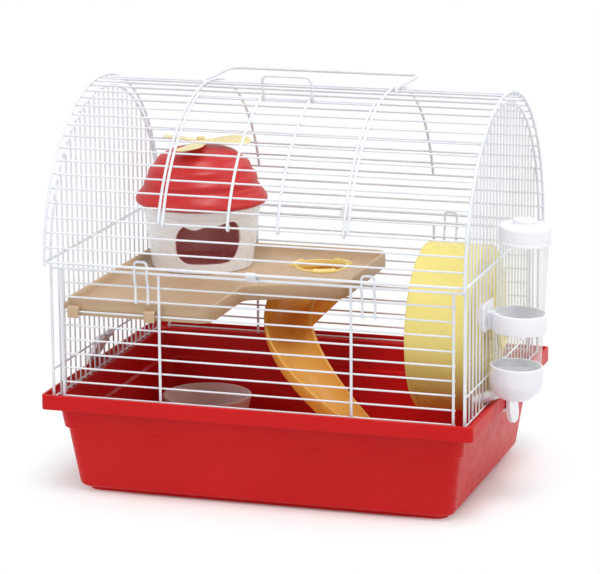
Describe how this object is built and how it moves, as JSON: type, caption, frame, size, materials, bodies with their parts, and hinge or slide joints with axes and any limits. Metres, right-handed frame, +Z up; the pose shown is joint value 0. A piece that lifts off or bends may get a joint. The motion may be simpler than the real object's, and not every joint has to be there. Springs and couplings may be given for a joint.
{
  "type": "small rodent cage",
  "caption": "Wire cage with an arched roof on a deep plastic tray, with roof door, carry handle, platform, chute, house, running wheel, bowl and drinking bottle.",
  "frame": {"origin": "on the floor, under the middle of the tray", "axes": "+Z up, +X to the right seen from the front, which is the side with the roof door; the front looks along -Y"},
  "size_m": [0.3974, 0.2644, 0.3309],
  "materials": {
    "tray_plastic": "smooth moulded red plastic",
    "white_wire": "white coated steel wire",
    "white_plastic": "smooth white plastic",
    "tan_plastic": "satin tan plastic",
    "amber_plastic": "amber plastic that lets some light through",
    "house_plastic": "smooth pale grey plastic",
    "roof_plastic": "smooth red plastic",
    "cream_plastic": "smooth cream plastic",
    "wheel_plastic": "pale yellow plastic that lets some light through",
    "steel": "plain steel",
    "clear_plastic": "clear plastic",
    "bowl_plastic": "cloudy clear plastic"
  },
  "bodies": {
    "cage": {"base_tray": "tray_plastic", "front_panel": "white_wire", "back_panel": "white_wire", "left_end_bars": "white_wire", "right_end_bars": "white_wire", "left_end_border": "white_wire", "right_end_border": "white_wire", "roof_ring": "white_wire", "roof_wires": "white_wire", "left_end_arch": "white_wire", "right_end_arch": "white_wire", "left_middle_arch": "white_wire", "right_middle_arch": "white_wire", "front_roof_loops": "white_wire", "back_roof_loops": "white_wire", "roof_ties": "white_wire", "platform": "tan_plastic", "chute_collar": "amber_plastic", "chute": "amber_plastic", "house_body": "house_plastic", "wheel_axle": "steel", "wheel_bracket": "wheel_plastic", "wheel_plate": "wheel_plastic", "wheel_nut": "steel", "bottle_tube": "clear_plastic", "bottle_cup": "white_plastic", "bottle_spout": "white_plastic", "bottle_holder": "white_plastic"},
    "roof_door": {"door_arcs": "white_wire", "door_wires": "white_wire", "door_pull": "white_wire"},
    "handle": {"carry_handle": "white_wire"},
    "left_clip": {"left_base_clip": "white_plastic"},
    "right_clip": {"right_base_clip": "white_plastic"},
    "wheel": {"wheel_drum": "wheel_plastic"},
    "house_top": {"house_roof": "roof_plastic", "propeller_pin": "cream_plastic"},
    "spinner": {"propeller": "cream_plastic"},
    "cap": {"bottle_cap": "white_plastic"},
    "drinking_ball": {"spout_ball": "steel"},
    "bowl": {"food_bowl": "bowl_plastic"}
  },
  "joints": [
    {"name": "roof_door_hinge", "type": "hinge", "parent": "cage", "child": "roof_door", "pos_m": [0, -0.12325, 0.22442], "axis": [1, 0, 0], "range_deg": [0, 165]},
    {"name": "carry_handle_hinge", "type": "hinge", "parent": "cage", "child": "handle", "pos_m": [0, 0, 0.31475], "axis": [1, 0, 0], "range_deg": [0, 150]},
    {"name": "left_clip_hinge", "type": "hinge", "parent": "cage", "child": "left_clip", "pos_m": [-0.1664, -0.0106, 0.1025], "axis": [0, 1, 0], "range_deg": [0, 75]},
    {"name": "right_clip_hinge", "type": "hinge", "parent": "cage", "child": "right_clip", "pos_m": [0.1664, -0.0106, 0.1025], "axis": [0, -1, 0], "range_deg": [0, 75]},
    {"name": "wheel_spin", "type": "hinge", "parent": "cage", "child": "wheel", "pos_m": [0.13, 0, 0.128], "axis": [1, 0, 0], "continuous": true},
    {"name": "house_roof_lift", "type": "slide", "parent": "cage", "child": "house_top", "axis": [0, 0, 1], "range_m": [0, 0.007]},
    {"name": "propeller_spin", "type": "hinge", "parent": "house_top", "child": "spinner", "pos_m": [-0.104, 0.057, 0.2553], "axis": [0, 0, 1], "continuous": true},
    {"name": "cap_turn", "type": "hinge", "parent": "cage", "child": "cap", "pos_m": [0.19225, -0.053, 0.1485], "axis": [0.0523, 0, 0.9986], "range_deg": [0, 270]},
    {"name": "ball_lift", "type": "slide", "parent": "cage", "child": "drinking_ball", "axis": [0.9128, 0, 0.4084], "range_m": [0, 0.002]},
    {"name": "bowl_lift", "type": "slide", "parent": "cage", "child": "bowl", "axis": [0, 0, 1], "range_m": [0, 0.06]}
  ]
}
